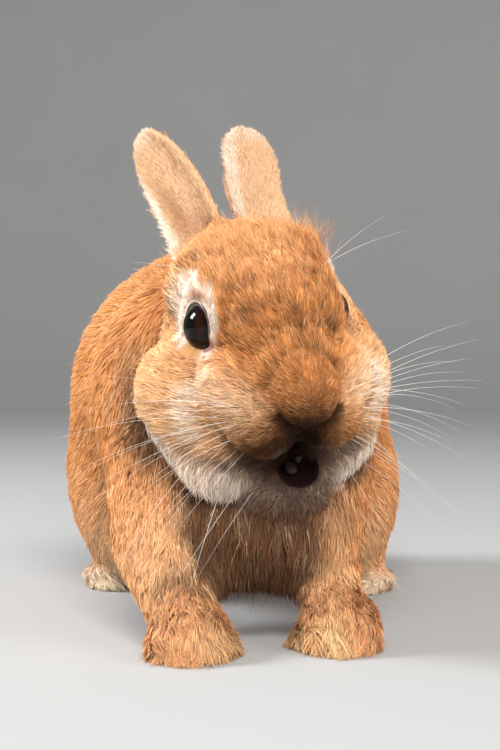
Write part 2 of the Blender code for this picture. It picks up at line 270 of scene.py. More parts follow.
def coordinates(mesh):
    return get(mesh.vertices, "co", 3)


def set_coordinates(mesh, points):
    mesh.vertices.foreach_set("co", points.astype(np.float32).ravel())
    mesh.update()


def normals_of(mesh):
    return get(mesh.vertex_normals, "vector", 3)


def link(name, data):
    item = bpy.data.objects.new(name, data)
    bpy.context.scene.collection.objects.link(item)
    return item


def dress(mesh, surface):
    mesh.materials.clear()
    mesh.materials.append(surface.material)
    mesh.shade_smooth()
    return mesh


def show(name, mesh, surface):
    return link(name, dress(mesh, surface))


def from_bmesh(name, bm):
    mesh = bpy.data.meshes.new(name)
    bm.to_mesh(mesh)
    bm.free()
    return mesh


def triangle_mesh(name, points, triangles):
    mesh = bpy.data.meshes.new(name)
    mesh.vertices.add(len(points))
    set_coordinates(mesh, points)
    mesh.loops.add(triangles.size)
    mesh.loops.foreach_set("vertex_index", triangles.astype(np.int32).ravel())
    mesh.polygons.add(len(triangles))
    mesh.polygons.foreach_set("loop_start", np.arange(0, triangles.size, 3, dtype=np.int32))
    mesh.update(calc_edges=True)
    return mesh


def paint(mesh, colours):
    """Store linear colours on the mesh's points."""
    rgba = np.ones((len(colours), 4), np.float32)
    rgba[:, :3] = limited(colours)
    layer = mesh.color_attributes.new("coat_colour", "FLOAT_COLOR", "POINT")
    layer.data.foreach_set("color", rgba.ravel())


def evaluated(item):
    """The object's mesh with its modifiers applied."""
    depsgraph = bpy.context.evaluated_depsgraph_get()
    item.data = bpy.data.meshes.new_from_object(item.evaluated_get(depsgraph))
    item.modifiers.clear()
    return item.data


def triangle_corners(mesh):
    mesh.calc_loop_triangles()
    return get(mesh.loop_triangles, "vertices", 3, np.int32)


def triangle_areas(ends):
    cross = np.cross(ends[:, 1] - ends[:, 0], ends[:, 2] - ends[:, 0])
    return lengths(cross) / 2


def nearest(points, others):
    """Number of the nearest of the others to each point."""
    tree = KDTree(len(others))
    for number, place in enumerate(others):
        tree.insert(place, number)
    tree.balance()
    return np.array([tree.find(place)[1] for place in points])


class Links:
    """Each point's neighbours on a mesh, to spread and smooth values over it."""

    def __init__(self, mesh):
        ends = get(mesh.edges, "vertices", 2, np.int32)
        source = np.concatenate((ends[:, 0], ends[:, 1]))
        target = np.concatenate((ends[:, 1], ends[:, 0]))
        order = np.argsort(source, kind="stable")
        self.target = target[order]
        self.counts = np.bincount(source, minlength=len(mesh.vertices))
        self.starts = np.concatenate(([0], np.cumsum(self.counts[:-1])))

    def mean(self, values):
        counts = self.counts if values.ndim == 1 else self.counts[:, None]
        return np.add.reduceat(values[self.target], self.starts, axis=0) / counts

    def smooth(self, values, passes, share=0.5):
        for _ in range(passes):
            values = values + (self.mean(values) - values) * share
        return values


# ---- Ears ----

EAR_ROOT = (8.5, -27, 12)  # of the left ear, in the head frame
EAR_TIPS = {"left": (-6.2, 64, 67.3), "right": (-43.2, 56, 63.8)}  # from between the eyes
EAR_FACING = {"left": (0.35, -0.9, 0.2), "right": (-0.7, -0.7, 0.2)}
EAR_TIP_SHAPE = {"left": (0.62, 2.3, 9), "right": (0.45, 2.1, 9.6)}
EAR_STALK = 0.98
EAR_ROLL = (85, 34)  # half angle at the root and up the ear
EAR_ROLL_END = 0.45
EAR_BOW = 2
EAR_LAST = 0.997
EAR_THICKNESS = 2.3 * MM


def ear_frames():
    """Root, axis, way across, way the hollow faces, and length, of each ear."""
    frames = {}
    for side, tip in EAR_TIPS.items():
        sign = 1 if side == "left" else -1
        root = from_head((sign * EAR_ROOT[0], EAR_ROOT[1], EAR_ROOT[2]))
        tip = np.array(HEAD_ORIGIN) + np.array(tip) * MM
        axis = unit(tip - root)
        facing = np.array(EAR_FACING[side])
        opening = unit(facing - axis * (facing @ axis))
        frames[side] = (root, axis, np.cross(axis, opening), opening, np.linalg.norm(tip - root))
    return frames


EARS = ear_frames()


def ear_places(points, normals):
    """On the nearer ear: share up it, place across in -1 to 1 and how much it is the hollow."""
    away = [lengths(points - ear[0] - ear[1] * 0.03) for ear in EARS.values()]
    is_left = away[0] < away[1]
    up, across, hollow = np.zeros((3, len(points)))
    for side, chosen in (("left", is_left), ("right", ~is_left)):
        root, axis, sideways, opening, length = EARS[side]
        offset = points[chosen] - root
        up[chosen] = offset @ axis / length
        across[chosen] = offset @ sideways / (EAR_TIP_SHAPE[side][2] * MM)
        hollow[chosen] = ramp(-0.35, 0.15, normals[chosen] @ opening)
    return up, across, hollow, is_left


# ---- Skin ----

def welded(node):
    """A CAD node's mesh with its split corners joined again."""
    bm = bmesh.new()
    bm.from_mesh(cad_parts[node].data)
    bmesh.ops.remove_doubles(bm, verts=bm.verts, dist=1e-6)
    bmesh.ops.recalc_face_normals(bm, faces=bm.faces)
    return bm


def ear_sheet(side):
    """A shallow scoop with a rounded tip, thickened: softer and flatter than the CAD ear."""
    root, axis, sideways, opening, length = EARS[side]
    tip_start, tip_power, half_width = EAR_TIP_SHAPE[side]
    bm = bmesh.new()
    bmesh.ops.create_grid(bm, x_segments=18, y_segments=36, size=1.0)
    for vert in bm.verts:
        along = (vert.co.y + 1) / 2 * EAR_LAST
        tip = max(0, (along - tip_start) / (1 - tip_start))
        wide = half_width * math.sqrt(1 - tip ** tip_power)
        wide *= EAR_STALK + (1 - EAR_STALK) * math.sin(math.pi / 2 * min(1, along / 0.4))
        opened = min(1, along / EAR_ROLL_END) ** 0.7
        half_angle = math.radians(EAR_ROLL[0] + (EAR_ROLL[1] - EAR_ROLL[0]) * opened)
        radius = wide / math.sin(min(half_angle, math.pi / 2))
        angle = vert.co.x * half_angle
        lift = radius * (1 - math.cos(angle)) - EAR_BOW * math.sin(math.pi * along)
        place = root + axis * (length * along)
        vert.co = place + (sideways * radius * math.sin(angle) + opening * lift) * MM
    faces = bm.faces[:]
    bmesh.ops.recalc_face_normals(bm, faces=faces)
    bmesh.ops.solidify(bm, geom=faces, thickness=EAR_THICKNESS)
    bmesh.ops.recalc_face_normals(bm, faces=bm.faces)
    return bm


def melted_flesh():
    """All the pieces of flesh and a ball round each eye, melted into one closed skin."""
    whole = bmesh.new()
    for node in FLESH:
        bm = ear_sheet(node.split("_")[1]) if node.startswith("ear") else welded(node)
        bm.normal_update()
        for vert in bm.verts:
            vert.co += vert.normal * SWELL
        whole.from_mesh(from_bmesh(node, bm))
    for side in ("left", "right"):
        at_eye = Matrix.Translation(centre_of(f"eye_{side}"))
        bmesh.ops.create_icosphere(whole, subdivisions=4, radius=LID_BALL, matrix=at_eye)
    item = link("skin", from_bmesh("skin", whole))
    melt = item.modifiers.new("Melt", "REMESH")
    melt.mode = "VOXEL"
    melt.voxel_size = VOXEL
    evaluated(item)
    return item


def region_weights(points, links):
    """How much each point belongs to each region, from the nearest CAD piece."""
    rng = np.random.default_rng(SEED)
    places, regions = [], []
    for node in FLESH:
        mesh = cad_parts[node].data
        corners = coordinates(mesh)[triangle_corners(mesh)]
        area = triangle_areas(corners)
        picks = rng.choice(len(area), size=int(area.sum() / SAMPLE_AREA), p=area / area.sum())
        share = rng.dirichlet((1, 1, 1), size=len(picks))
        places.append((corners[picks] * share[:, :, None]).sum(axis=1))
        regions += [REGIONS.index(node.split("_")[0])] * len(picks)
    found = np.array(regions)[nearest(points, np.concatenate(places))]
    return links.smooth(np.eye(len(REGIONS))[found], 10, 0.6)


def part(weights, *names):
    """How much each point belongs to these regions."""
    return weights[:, [REGIONS.index(name) for name in names]].sum(axis=1)


def by_region(weights, column):
    return weights @ np.array([COAT[region][column] for region in REGIONS])


def eye_polar(head, side):
    """Distance from the eye's centre, angle from its outward axis, and turn round it."""
    away = head - eye_centre(side)
    distance = np.maximum(lengths(away), 1e-6)
    angle = np.degrees(np.arccos(np.clip(side * away[:, 0] / distance, -1, 1)))
    turn = np.degrees(np.arctan2(away[:, 2], away[:, 1]))
    return distance, angle, turn


def canthus(turn):
    """1 at the front corner of the eye, low and towards the nose."""
    return bell(turn, -17, 15)


def lid_angle(turn):
    """Angle of the lid's edge from the eye's outward axis, round the eye, in degrees."""
    way = np.radians(turn)
    return 57.5 + 10 * np.cos(way - 0.17) + 4.5 * np.sin(way) + 10 * canthus(turn)


def lid_distance(head, side):
    """Distance from the edge of the lids, in mm, and the turn round the eye."""
    distance, angle, turn = eye_polar(head, side)
    edge = to_head(eye_point(side, lid_angle(turn), turn, LID_RADIUS))
    away = lengths(head - edge)
    opening = (angle < lid_angle(turn)) & (distance < LID_RADIUS + 2.5)
    return np.where(opening, 0, away), turn


def eye_distance(head):
    """Distance to the nearer eye's centre."""
    return lengths(np.abs(head) - eye_centre(1))


def mouth_depth(head):
    """Under 1 inside the mouth's hollow, 1 on its wall."""
    centre, radii, tilt = MOUTH
    turn = np.array(Matrix.Rotation(math.radians(tilt), 3, "X"))
    return lengths((head - centre) @ turn / radii)


def coat_share(points, weights):
    """How full the coat is against its region's figure: least round the nose, lips and eyes."""
    head = to_head(points)
    face = part(weights, "head", "jaw")
    share = np.ones(len(points))
    share -= 0.62 * blob(head, (0, 38, -9), (15, 15, 15)) * face
    share -= 0.35 * blob(folded(head), (9, 28, -21), (10, 11, 10)) * face
    share *= 1 - 0.6 * face * (1 - ramp(9.5, 15.5, eye_distance(head)))
    share *= 1 - 0.3 * face * (1 - ramp(1.1, 1.9, mouth_depth(head)))
    share += 0.25 * blob(folded(head), (24, -6, -26), (14, 16, 14)) * face
    return np.clip(share, 0.12, 2)


def pressed(points, normals, depth):
    """The points pressed into the skin by the depth in mm."""
    return points - normals * (depth * MM)[:, None]


NOSE_CREASE = [
    (-11, 32, -6), (-9.6, 32.8, -1.5), (-7.6, 32.4, 2.2), (-4.6, 32.2, 4.6),
    (-1, 32.8, 5.4), (2.6, 33.4, 4.4), (6.2, 33.8, 1.6), (8.8, 33.4, -2.5),
]
NOSTRIL = [(8.2, 35.6, -14), (6.4, 36.6, -16.2), (3.6, 37.2, -17.8), (0, 37.2, -18.6)]
PHILTRUM = [(0, 37, -18.2), (0.2, 33.8, -21.5), (0.7, 31.5, -26), (0.6, 30.5, -31)]


def opposite(path):
    return [(-x, y, z) for x, y, z in path]


SLITS = (NOSTRIL, opposite(NOSTRIL), PHILTRUM)


def sculpt_face(points, normals):
    """Crease over the nose, nostrils, split lip, and the lids round each eye."""
    head = to_head(points)
    creases = zip((NOSE_CREASE, *SLITS), (0.9, 1.8, 1.8, 1.7), (1.5, 1.15, 1.15, 1.1))
    for path, depth, width in creases:
        points = pressed(points, normals, depth * stripe(head, path, width))
    head = to_head(points)
    for side in (1, -1):
        distance, angle, turn = eye_polar(head, side)
        outside = angle - lid_angle(turn)
        near = (distance < 21) & (side * head[:, 0] > EYE_OFFSET - 6)
        roof = LID_RADIUS + LID_SLOPE * np.maximum(outside, 0)
        roof -= PIT_DEPTH * ramp(0, -4.5, outside)
        target = np.where(near, np.minimum(distance, roof), distance)
        lid = near & (outside > 0) & (outside < 24)
        target = np.where(lid, np.maximum(target, LID_RADIUS), target)
        centre = eye_centre(side)
        head = centre + (head - centre) * (target / distance)[:, None]
    return from_head(head)


def refine(mesh, wanted):
    """Halve the faces whose points are all wanted."""
    bm = bmesh.new()
    bm.from_mesh(mesh)
    edges = [edge for edge in bm.edges if all(wanted[vert.index] for vert in edge.verts)]
    bmesh.ops.subdivide_edges(bm, edges=edges, cuts=1, use_grid_fill=True)
    bmesh.ops.triangulate(bm, faces=bm.faces)
    bm.to_mesh(mesh)
    bm.free()
    mesh.update()


def thin_out(item, weights):
    """Fewer faces on the body and more on the head, ears and paws."""
    group = item.vertex_groups.new(name="plain")
    plain = part(weights, "trunk", "neck", "thigh", "tail", "foreleg")
    for level in range(1, 5):
        chosen = np.flatnonzero((plain > (level - 1) / 4) & (plain <= level / 4 + 1e-6))
        group.add(chosen.tolist(), level / 4, "REPLACE")
    item.data.calc_loop_triangles()
    fewer = item.modifiers.new("Fewer", "DECIMATE")
    fewer.ratio = SKIN_FACES / len(item.data.loop_triangles)
    fewer.vertex_group = group.name
    fewer.vertex_group_factor = 2
    evaluated(item)
    item.vertex_groups.clear()


def under_jaw(points, normals):
    """A fold that sets the jaw off from the throat."""
    fold = [(x, y - 5, z - 8) for x, y, z in JAW_BAND]
    return pressed(points, normals, 2.2 * stripe(folded(to_head(points)), fold, 4))


def toes(foot):
    """Centres of the foot's claws, in mm."""
    return [np.array(centre_of(f"claw_{foot}_{number}")) / MM for number in range(1, 5)]


def toe_grooves(points, normals, weights):
    """Clefts between the toes, midway between neighbouring claws."""
    for foot in FEET:
        share = part(weights, "forepaw" if foot.startswith("fore") else "hindfoot")
        for one, other in zip(toes(foot), toes(foot)[1:]):
            path = [(one + other) / 2 + step for step in ((0, -4, -3), (0, 4, 4), (0, 13, 10))]
            points = pressed(points, normals, 1.5 * share * stripe(points / MM, path, 2.2))
    return points


def make_skin():
    item = melted_flesh()
    mesh = item.data
    links = Links(mesh)
    points = coordinates(mesh)
    weights = region_weights(points, links)
    for _ in range(FINE_PASSES):
        points = links.smooth(links.smooth(points, 1), 1, -0.52)
    plain = ramp(0.5, 1, part(weights, "trunk", "neck", "thigh", "tail"))
    points = links.smooth(points, BODY_PASSES, 0.6 * plain[:, None])
    head = to_head(points)
    crown = ramp(20, 8, head[:, 1]) * ramp(12, 17, eye_distance(head))
    crown *= ramp(0.5, 1, part(weights, "head", "neck", "jaw"))
    points = links.smooth(points, CROWN_PASSES, 0.6 * crown[:, None])
    set_coordinates(mesh, points)

    depth = by_region(weights, DEPTH) * coat_share(points, weights)
    inside = mouth_depth(to_head(points)) < 1.12
    depth = np.where(inside, 0, depth) * MM + SWELL * 0.8
    floor_share = ramp(0.6 * MM, 2.5 * MM, points[:, 2])
    depth = links.smooth(depth * np.maximum(floor_share, 0.15), 5)
    normals = normals_of(mesh)
    points = links.smooth(points - normals * depth[:, None], 2, 0.4)
    points = under_jaw(toe_grooves(points, normals, weights), normals)
    points[:, 2] = np.maximum(points[:, 2], 0)
    set_coordinates(mesh, points)
    thin_out(item, weights)

    mesh = item.data
    head = to_head(coordinates(mesh))
    wanted = eye_distance(head) < 13
    wanted |= (head[:, 1] > 26) & (head[:, 2] > -44) & (np.abs(head[:, 0]) < 12)
    refine(mesh, wanted)
    set_coordinates(mesh, sculpt_face(coordinates(mesh), normals_of(mesh)))
    dress(mesh, UNDERCOAT)
    return item


# ---- Markings and painted shade ----

CHEEK_STREAK = [(23.5, 16.6, -5.5), (26.8, 16.6, -9), (29.8, 16.5, -17.5), (28, 18, -24)]
JAW_BAND = [
    (38, -6, -29), (37, 0, -32.5), (33, 10, -36.5), (27, 18, -38.5),
    (19, 25, -40.5), (10, 30, -43.5), (0, 34, -45.5),
]
WHISKER_SPOTS = [
    (24.5, 23.7, -13.4), (25.5, 22, -18.5), (21.5, 28, -16.5), (18, 31.5, -17.5),
    (27.7, 15.9, -27.5), (24, 24, -23.5), (20, 29, -22.5), (15, 33.5, -20),
    (22.5, 22.5, -29), (17.5, 28.5, -27.5), (12, 33, -25),
]

# Stains on the front paws: place across of the toes' patch, its width, and place of the pad's.
PAW_STAINS = [("forepaw_right", 7.5, 3.6, 12.5), ("forepaw_left", -2.5, 5, -12.5)]


def head_colours(head, noise):
    """Markings of the face, with painted shade round the nose and mouth and under the jaw, from
    places in the head frame.
    """
    both = folded(head)
    x, _, z = both.T
    # Dark mottling between the eyes and over the bridge: darker fur, with painted shade between
    # the locks.
    flecks_and_shade = 1.3 * blob(both, (11, 18, 13), (9, 12, 9)) + blob(head, (0, 26, 9), (9, 8, 7))
    # Painted shade below the lower lip.
    lip = ramp(-26, -33, z + noise) * ramp(29, 18, x)
    band = stripe(both, JAW_BAND, 7) * (0.3 + 0.7 * ramp(8, 20, x))
    # Grizzled brown fur on the lower whisker pads, with painted shade under the pads' bulge.
    grizzle_and_shade = blob(both, (12, 34, -22), (8, 9, 5.5)) * (0.9 + 0.5 * noise)
    nose = lengths((head - (0, 36, -5)) / (11, 11, 10.5))
    layers = [
        (GOLD, 0.6 * ramp(4, 22, z + noise * 4)),
        (CHEEK, 0.75 * ramp(12, 24, x) * ramp(6, -8, z)),
        (CREAM, 0.75 * blob(both, (29, 9, -27), (14, 14, 10))),
        (DEEP_RUFOUS, limited(0.62 * flecks_and_shade * (1 + noise), 0.9)),
        (BROWN, 0.92 * limited(1.3 * flecks_and_shade * ramp(0, 0.5, noise))),
        (WHITE, 0.35 * blob(both, (20, 25, -12), (6, 8, 5))),
        (CREAM, 0.8 * blob(both, (17, 29, -14), (9, 8, 6))),
        (CHIN_SHADE, 0.9 * lip),
        # Painted shade under the jaw.
        (CHEST_SHADE, 0.8 * ramp(-41, -46, z + noise * 1.5)),
        (GREY_WHITE, 0.9 * limited(1.3 * band - 0.1)),
        (WHITE, 0.8 * limited((1.3 * band - 0.3) * (0.75 + 0.9 * noise))),
        (WHITE, 0.62 * stripe(both, CHEEK_STREAK, 3.2)),
        (BROWN, limited(0.6 * grizzle_and_shade, 0.9)),
        # Painted shade under the muzzle, over the upper lip and round the mouth.
        (DEEP_SHADE, 0.94 * limited(1.8 * blob(head, (-5, 33, -26.5), (13, 11, 10.2)))),
        (GREY_WHITE, 0.22 * blob(both, (7, 33, -26), (2.4, 5, 2.4))),
    ]
    layers += [(BROWN, 0.65 * blob(both, spot, (1.5, 1.5, 1.3))) for spot in WHISKER_SPOTS]
    layers += [
        (NOSE_BROWN, 0.75 * np.exp(-(nose ** 4))),
        # Painted shade on the underside of the nose, darkest below.
        (BROWN, 0.9 * blob(head, (-1, 41, -11), (7, 8, 4.6))),
        (DEEP_SHADE, 0.95 * limited(1.2 * blob(head, (-1, 41, -15), (7.6, 9, 4.6)))),
        # Painted shade in the cleft between the nose and the mouth.
        (DEEPEST_SHADE, 0.96 * limited(1.6 * blob(head, (0, 31, -26.5), (7.5, 11, 10.5)))),
        # Painted shade in the crease over the nose.
        (BROWN, 0.6 * stripe(head, NOSE_CREASE, 1.5)),
    ]
    # Painted shade in the nostril slits and the split lip.
    layers += [(DEEPEST_SHADE, 0.97 * limited(1.3 * stripe(head, path, 2.1))) for path in SLITS]
    return layered(RUFOUS, layers)


def around(turn, centre, spread):
    """1 at one turn round the eye, less on either side of it."""
    return bell((turn - centre + 180) % 360 - 180, 0, spread)


def eye_colours(head, colour, noise):
    """The pale ring round each eye, the brown patch over it with painted shade, and the bare inner
    corner.
    """
    for side in (1, -1):
        away, turn = lid_distance(head, side)
        near = side * head[:, 0] > 4
        width = 2.9 + 2 * around(turn, 10, 36) - 4.8 * around(turn, -74, 52)
        width += 10 * around(turn, 164, 52) + noise * 0.7
        ring = ramp(width + 1.4, width - 1, away) * near
        # Brown fur over the eye, deepened by painted shade under the brow.
        brow = around(turn, 100, 34) * bell(away, 1.6, 1.5) * near
        layers = [
            (mix(CREAM, WHITE, ramp(13, 6, away)), 0.94 * ring),
            (DEEP_RUFOUS, 0.85 * brow),
            (SKIN_PINK, 0.7 * canthus(turn) * ramp(2.4, 0.6, away) * near),
        ]
        colour = layered(colour, layers)
    return colour


def ear_colours(points, normals, noise):
    """Tan hollows with pale rolled edges, the right one with painted shade deepest in its canal,
    the left one's inner rim a painted highlight, and rufous backs.
    """
    up, across, hollow, is_left = ear_places(points, normals)
    tip = ramp(0.84, 1, up)
    outer = np.where(is_left, across, -across)
    shade = bell(outer, 0.45, 0.3) * bell(up, 0.38, 0.28)
    # Painted shade deep in the canal.
    canal_shade = bell(up, 0, 0.26) * bell(across, 0.1, 0.6)
    # Painted highlight along the left ear's lit inner rim.
    left_roll_highlight = 0.55 * ramp(-0.35, -0.75, across)
    right_roll = 0.75 * ramp(-0.7, -0.95, across)
    layers = [
        (CREAM, 0.4 + 0.08 * noise),
        (EAR_SHADE, 0.75 * shade * ~is_left),
        (WHITE, 0.45 * tip),
        (WHITE, np.where(is_left, left_roll_highlight, right_roll)),
    ]
    inner = layered(TAN, layers) * np.where(is_left, 0.9, 1)[:, None]
    inner = mix(inner, BROWN, 0.85 * canal_shade * ~is_left)
    edge = np.maximum(tip, ramp(0.7, 1, np.abs(across)))
    back = layered(RUFOUS, [(GOLD, 0.6 + 0.2 * noise), (CREAM, 0.5 * edge)])
    return mix(back, inner, hollow)


def body_colours(points, normals, weights, noise):
    """Trunk, legs and feet, from places in the world."""
    x, y, z = points.T / MM
    front = np.stack((x, z), axis=1)
    ahead = ramp(-10, -36, y)
    shift = 4 * ramp(56, 72, z)
    # The breast under the head: brown with painted shade, and some paler locks.
    breast = ahead * ramp(104, 80, z) * ramp(46, 31, np.abs(x - 8 + shift))
    breast *= 1 - 0.9 * part(weights, "foreleg", "forepaw") * ramp(68, 48, z)
    breast *= 1 - 0.6 * ramp(24, 33, x) * ramp(62, 50, z)
    locks = 0.5 + 0.5 * noise
    # Painted shade on the breast: darker towards its bottom and between the forelegs.
    depth = 0.55 + 0.45 * ramp(36, 62, z) - 0.4 * blob(front, (5, 64), (13, 12))
    belly = ramp(0.2, 0.9, -normals[:, 2]) * ramp(70, 30, z)
    paws = part(weights, "forepaw")
    layers = [
        (GOLD, limited(0.3 + 0.3 * noise, 0.8)),
        (CREAM, 0.45 * ramp(60, 22, z) * ramp(-0.2, 0.9, -normals[:, 1])),
        (CREAM, 0.75 * belly * ramp(-50, -20, y)),
        (CHEST_SHADE * depth[:, None], breast * (0.88 + 0.12 * locks)),
        (CREAM, 0.22 * breast * ramp(0.55, 0.9, locks)),
        (TAN, 0.5 * blob(front, (27, 64), (8, 13)) * ahead),
        (PALE_TOES, 0.95 * part(weights, "hindfoot") * ramp(70, 45, y)),
        (PAW, 0.6 * paws),
    ]
    for node, inward, wide, pad in PAW_STAINS:
        place = points / MM - np.array(centre_of(node)) / MM
        patch = blob(place, (inward, -12, -1), (wide, 7, 6)) * paws
        layers.append((STAIN, 0.85 * limited(patch * (0.9 + 0.8 * noise))))
        layers.append((STAIN, 0.7 * blob(place, (pad, -2, -6), (4.5, 8, 6)) * paws))
    under_tail = part(weights, "tail") * ramp(0.3, -0.5, normals[:, 2])
    return layered(RUFOUS, layers + [(WHITE, 0.8 * under_tail)])


def markings_and_shade(points, normals, weights):
    """The coat's colour at each point: the same for the skin and for the tufts."""
    noise = np.clip(ripple(points, 5.5 * MM, 3) * 0.6 + ripple(points, 2.2 * MM, 4) * 0.5, -1, 1)
    head = to_head(points)
    both = folded(head)
    ear = part(weights, "ear")
    band = limited(stripe(both, JAW_BAND, 7) * 1.6) * (1 - ear)
    face = np.maximum(part(weights, "head", "jaw"), band)
    nape = ramp(-4, -20, both[:, 1]) * ramp(34, 20, both[:, 0])
    layers = [(head_colours(head, noise), face), (GOLD, 0.4 * nape * face)]
    colour = layered(body_colours(points, normals, weights, noise), layers)
    colour = eye_colours(head, colour, noise)
    return mix(colour, ear_colours(points, normals, noise), ear)


# ---- Lie of the coat ----

BODY_LIE = {
    "neck": (0, 0.9, -0.6),
    "trunk": (0, 1, -0.55),
    "tail": (0, 0.7, 0.5),
    "thigh": (0, 0.8, -0.6),
    "foreleg": (0, -0.45, -0.9),
    "forepaw": (0, -1, -0.55),
    "hindfoot": (0, -1, -0.25),
}
BREAST_LIE = (0, -0.12, -1)
NOSE_SOURCE = (0, 46, -10)


def head_lie(head):
    """Away from the nose over the whole face, and round the eyes."""
    way = unit(head - NOSE_SOURCE)
    way[:, 2] += 0.1
    for side in (1, -1):
        away = head - eye_centre(side)
        distance = np.linalg.norm(away, axis=1, keepdims=True)
        way = way + unit(away) * bell(distance, 10, 4.8) * 1.4
    return head_vectors(way)


def ear_lie(points, normals):
    _, across, _, is_left = ear_places(points, normals)
    way = np.zeros((len(points), 3))
    for side, chosen in (("left", is_left), ("right", ~is_left)):
        _, axis, sideways, _, _ = EARS[side]
        way[chosen] = axis + np.outer(0.55 * np.clip(across[chosen], -1.2, 1.2), sideways)
    return way


def flat(ways, normals):
    """The ways laid along the surface."""
    return unit(ways - normals * (ways * normals).sum(axis=1, keepdims=True))


def coat_lie(points, normals, weights, links):
    way = np.zeros((len(points), 3))
    front = ramp(-0.005, -0.045, points[:, 1])[:, None]
    for region, direction in BODY_LIE.items():
        direction = unit(direction)
        if region in ("trunk", "neck"):
            direction = direction + (unit(BREAST_LIE) - direction) * front
        way += part(weights, region)[:, None] * direction
    way += part(weights, "head", "jaw")[:, None] * unit(head_lie(to_head(points)))
    way += part(weights, "ear")[:, None] * unit(ear_lie(points, normals))
    for _ in range(3):
        way = links.smooth(flat(way, normals), 2)
    return flat(way, normals)


def bare_places(points):
    """1 where no hair grows: in the eyes' openings, the mouth and the nostrils."""
    head = to_head(points)
    bare = (mouth_depth(head) < 1.03).astype(float)
    for side in (1, -1):
        distance, angle, turn = eye_polar(head, side)
        bare[(distance < 12) & (angle < lid_angle(turn) + 1.5)] = 1
    for path in SLITS:
        bare[distance_to_path(head, path) < 0.7] = 1
    return bare


# ---- Coat ----

def unwrap(item):
    """A map of the skin's own shape, which the tufts' small patches are placed on."""
    bpy.context.view_layer.objects.active = item
    item.select_set(True)
    item.data.uv_layers.new(name="OFBake")
    bpy.ops.object.mode_set(mode="EDIT")
    bpy.ops.mesh.select_all(action="SELECT")
    bpy.ops.uv.smart_project(angle_limit=math.radians(70), island_margin=0.002)
    bpy.ops.object.mode_set(mode="OBJECT")
    item.select_set(False)


def turned(vectors, axes, angles):
    """Vectors turned about axes that are square to them."""
    turn = angles[:, None]
    return vectors * np.cos(turn) + np.cross(axes, vectors) * np.sin(turn)


class Roots:
    """Where the tufts grow: place, normal, lie, region and map place of each."""

    def __init__(self, item, weights, lie, density, rng):
        mesh = item.data
        corners = triangle_corners(mesh)
        loops = get(mesh.loop_triangles, "loops", 3, np.int32)
        points = coordinates(mesh)
        area = triangle_areas(points[corners]) / MM ** 2
        expected = area * density[corners].mean(axis=1)
        count = np.floor(expected + rng.random(len(expected))).astype(int)
        face = np.repeat(np.arange(len(count)), count)
        share = rng.dirichlet((1, 1, 1), size=len(face))[:, :, None]

        def within(values, ends=corners[face]):
            return (values[ends] * share).sum(axis=1)

        self.place = within(points)
        self.normal = unit(within(normals_of(mesh)))
        self.weights = within(weights)
        self.lie = flat(within(lie), self.normal)
        self.map = within(get(mesh.uv_layers["OFBake"].data, "uv", 2), loops[face])

    def part(self, *names):
        return part(self.weights, *names)

    def keep(self, chosen):
        for name in ("place", "normal", "weights", "lie", "map"):
            setattr(self, name, getattr(self, name)[chosen])


def tuft_colours(roots, rng):
    """Markings at the root, painted shade towards it, and each tuft a little lighter, darker,
    paler or dark-tipped.
    """
    count = len(roots.place)
    colour = markings_and_shade(roots.place, roots.normal, roots.weights)
    ear = roots.part("ear")
    face = roots.part("head", "jaw")
    colour *= np.exp(rng.normal(0, 0.15, count) * (1 - 0.5 * ear))[:, None]
    pale = (rng.random(count) < 0.16) * rng.uniform(0.2, 0.6, count) * (1 - 0.7 * ear)
    colour = mix(colour, CREAM, pale * (colour[:, 0] > 0.2))
    dark = (rng.random(count) < 0.04 + 0.06 * face) * rng.uniform(0.3, 0.8, count) * (1 - ear)
    tip = mix(colour * 1.06, DEEP_RUFOUS, dark * (colour[:, 2] < 0.25))
    # Painted shade deep in the coat: darker at the root, least where the fur is pale.
    depth = (0.7 - 0.3 * face + 0.12 * ear)[:, None]
    depth = depth + 0.32 * ramp(0.12, 0.45, colour[:, 2:])
    return colour * depth, colour * (0.92 - 0.06 * face)[:, None], tip * 1.10


def length_share(roots, head):
    """Longer hair over the eyes, on the lips, down the breast and over the claws."""
    face = roots.part("head", "jaw")
    share = 1 + 0.7 * face * blob(folded(head), (20, 2, 17), (7, 8, 6))
    share += 0.6 * face * blob(head, (0, 31, -29), (9, 7, 4))
    low = ramp(-34, -43, head[:, 2])
    share += face * low * (0.6 * ramp(10, 22, np.abs(head[:, 0])) - 0.25)
    ear = roots.part("ear")
    across = ear_places(roots.place, roots.normal)[1]
    share += 0.75 * ear * ramp(0.72, 0.98, -across) + 0.3 * ear * ramp(0.8, 1, across)
    x, y, z = roots.place.T / MM
    breast = ramp(-20, -48, y) * ramp(88, 64, z) * ramp(30, 16, np.abs(x - 10))
    share += 0.45 * breast * roots.part("trunk", "neck")
    for toe in sum(map(toes, FEET), []):
        share += 1.3 * blob(roots.place / MM, toe + (0, 2, 1.5), (3.4, 4.5, 3.6))
    return share


